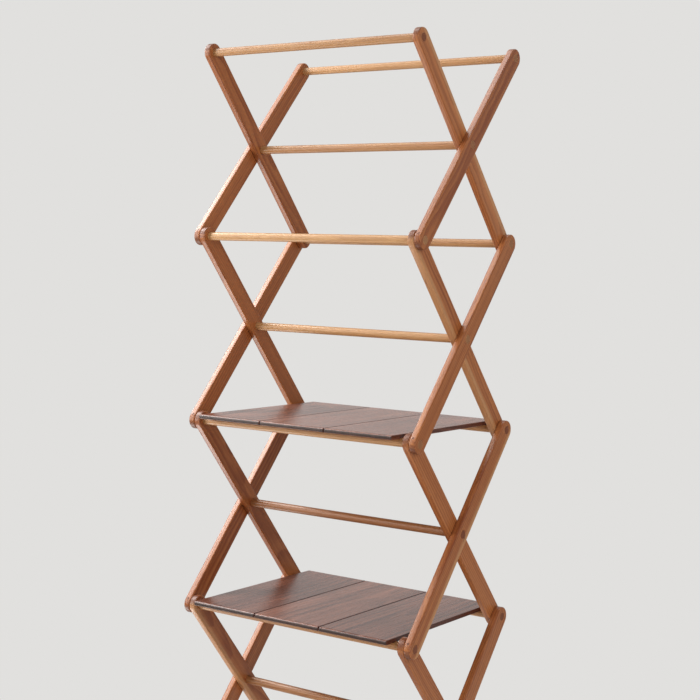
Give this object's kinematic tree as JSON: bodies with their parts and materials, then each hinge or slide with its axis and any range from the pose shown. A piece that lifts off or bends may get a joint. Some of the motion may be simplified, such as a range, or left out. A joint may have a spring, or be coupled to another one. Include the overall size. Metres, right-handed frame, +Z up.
{
  "type": "folding bookstand rack",
  "caption": "Tall folding rack: lazy-tong towers of crossed wooden slats tied by round dowels, with plank shelves laid between them.",
  "frame": {"origin": "on the floor, under the middle of the rack's outer box", "axes": "+X runs along the dowels to the right-hand tower, +Y runs to the back, +Z is up"},
  "size_m": [0.507, 0.3662, 1.7835],
  "materials": {
    "slat_wood": "oiled cherry-like hardwood, satin, with pale sapwood streaks",
    "dowel_wood": "oiled pale straight-grained hardwood, satin",
    "pin_wood": "end grain of small pegs, satin",
    "plank_wood": "oiled walnut-like hardwood, satin"
  },
  "bodies": {
    "front_foot_dowel": {"front_dowel_row_0": "dowel_wood"},
    "tier_1_outer_frame": {"tier_1_outer_slat_left": "slat_wood", "tier_1_outer_slat_right": "slat_wood", "back_dowel_row_1": "dowel_wood"},
    "tier_1_inner_frame": {"tier_1_inner_slat_left": "slat_wood", "tier_1_inner_slat_right": "slat_wood", "crossing_dowel_tier_1": "dowel_wood", "back_dowel_row_0": "dowel_wood"},
    "tier_2_outer_frame": {"tier_2_outer_slat_left": "slat_wood", "tier_2_outer_slat_right": "slat_wood", "back_dowel_row_2": "dowel_wood", "front_dowel_row_1": "dowel_wood", "locking_pin_row_1_left": "pin_wood", "locking_pin_row_1_right": "pin_wood"},
    "tier_2_inner_frame": {"tier_2_inner_slat_left": "slat_wood", "tier_2_inner_slat_right": "slat_wood", "crossing_dowel_tier_2": "dowel_wood"},
    "tier_3_outer_frame": {"tier_3_outer_slat_left": "slat_wood", "tier_3_outer_slat_right": "slat_wood", "back_dowel_row_3": "dowel_wood", "front_dowel_row_2": "dowel_wood", "locking_pin_row_2_left": "pin_wood", "locking_pin_row_2_right": "pin_wood"},
    "tier_3_inner_frame": {"tier_3_inner_slat_left": "slat_wood", "tier_3_inner_slat_right": "slat_wood", "crossing_dowel_tier_3": "dowel_wood"},
    "tier_4_outer_frame": {"tier_4_outer_slat_left": "slat_wood", "tier_4_outer_slat_right": "slat_wood", "back_dowel_row_4": "dowel_wood", "front_dowel_row_3": "dowel_wood", "locking_pin_row_3_left": "pin_wood", "locking_pin_row_3_right": "pin_wood"},
    "tier_4_inner_frame": {"tier_4_inner_slat_left": "slat_wood", "tier_4_inner_slat_right": "slat_wood", "crossing_dowel_tier_4": "dowel_wood"},
    "tier_5_outer_frame": {"tier_5_outer_slat_left": "slat_wood", "tier_5_outer_slat_right": "slat_wood", "back_dowel_row_5": "dowel_wood", "front_dowel_row_4": "dowel_wood", "locking_pin_row_4_left": "pin_wood", "locking_pin_row_4_right": "pin_wood"},
    "tier_5_inner_frame": {"tier_5_inner_slat_left": "slat_wood", "tier_5_inner_slat_right": "slat_wood", "crossing_dowel_tier_5": "dowel_wood", "front_dowel_row_5": "dowel_wood"},
    "lower_shelf": {"lower_shelf_plank_left": "plank_wood", "lower_shelf_plank_middle": "plank_wood", "lower_shelf_plank_right": "plank_wood"},
    "upper_shelf": {"upper_shelf_plank_left": "plank_wood", "upper_shelf_plank_middle": "plank_wood", "upper_shelf_plank_right": "plank_wood"}
  },
  "joints": [
    {"name": "fold", "type": "hinge", "parent": "front_foot_dowel", "child": "tier_1_outer_frame", "pos_m": [0, -0.15007, 0.016], "axis": [-1, 0, 0], "range_deg": [0, 42]},
    {"name": "tier_1_crossing", "type": "hinge", "parent": "tier_1_outer_frame", "child": "tier_1_inner_frame", "pos_m": [0, 0.003, 0.191], "axis": [1, 0, 0], "range_deg": [0, 84]},
    {"name": "tier_2_front_pivot", "type": "hinge", "parent": "tier_1_inner_frame", "child": "tier_2_outer_frame", "pos_m": [0, -0.15007, 0.366], "axis": [-1, 0, 0], "range_deg": [0, 84]},
    {"name": "tier_2_crossing", "type": "hinge", "parent": "tier_2_outer_frame", "child": "tier_2_inner_frame", "pos_m": [0, 0.003, 0.541], "axis": [1, 0, 0], "range_deg": [0, 84]},
    {"name": "tier_3_front_pivot", "type": "hinge", "parent": "tier_2_inner_frame", "child": "tier_3_outer_frame", "pos_m": [0, -0.15007, 0.716], "axis": [-1, 0, 0], "range_deg": [0, 84]},
    {"name": "tier_3_crossing", "type": "hinge", "parent": "tier_3_outer_frame", "child": "tier_3_inner_frame", "pos_m": [0, 0.003, 0.891], "axis": [1, 0, 0], "range_deg": [0, 84]},
    {"name": "tier_4_front_pivot", "type": "hinge", "parent": "tier_3_inner_frame", "child": "tier_4_outer_frame", "pos_m": [0, -0.15007, 1.066], "axis": [-1, 0, 0], "range_deg": [0, 84]},
    {"name": "tier_4_crossing", "type": "hinge", "parent": "tier_4_outer_frame", "child": "tier_4_inner_frame", "pos_m": [0, 0.003, 1.241], "axis": [1, 0, 0], "range_deg": [0, 84]},
    {"name": "tier_5_front_pivot", "type": "hinge", "parent": "tier_4_inner_frame", "child": "tier_5_outer_frame", "pos_m": [0, -0.15007, 1.416], "axis": [-1, 0, 0], "range_deg": [0, 84]},
    {"name": "tier_5_crossing", "type": "hinge", "parent": "tier_5_outer_frame", "child": "tier_5_inner_frame", "pos_m": [0, 0.003, 1.591], "axis": [1, 0, 0], "range_deg": [0, 84]},
    {"name": "lower_shelf_lift", "type": "hinge", "parent": "tier_3_inner_frame", "child": "lower_shelf", "pos_m": [0, 0.2315, 0.893], "axis": [-1, 0, 0], "range_deg": [0, 42]},
    {"name": "upper_shelf_lift", "type": "hinge", "parent": "tier_4_inner_frame", "child": "upper_shelf", "pos_m": [0, 0.2315, 1.243], "axis": [-1, 0, 0], "range_deg": [0, 42]}
  ],
  "couplings": [
    {"joint": "tier_1_crossing", "follows": "fold", "ratio": 2},
    {"joint": "tier_2_front_pivot", "follows": "fold", "ratio": 2},
    {"joint": "tier_2_crossing", "follows": "fold", "ratio": 2},
    {"joint": "tier_3_front_pivot", "follows": "fold", "ratio": 2},
    {"joint": "tier_3_crossing", "follows": "fold", "ratio": 2},
    {"joint": "tier_4_front_pivot", "follows": "fold", "ratio": 2},
    {"joint": "tier_4_crossing", "follows": "fold", "ratio": 2},
    {"joint": "tier_5_front_pivot", "follows": "fold", "ratio": 2},
    {"joint": "tier_5_crossing", "follows": "fold", "ratio": 2},
    {"joint": "lower_shelf_lift", "follows": "fold", "ratio": 1},
    {"joint": "upper_shelf_lift", "follows": "fold", "ratio": 1}
  ]
}
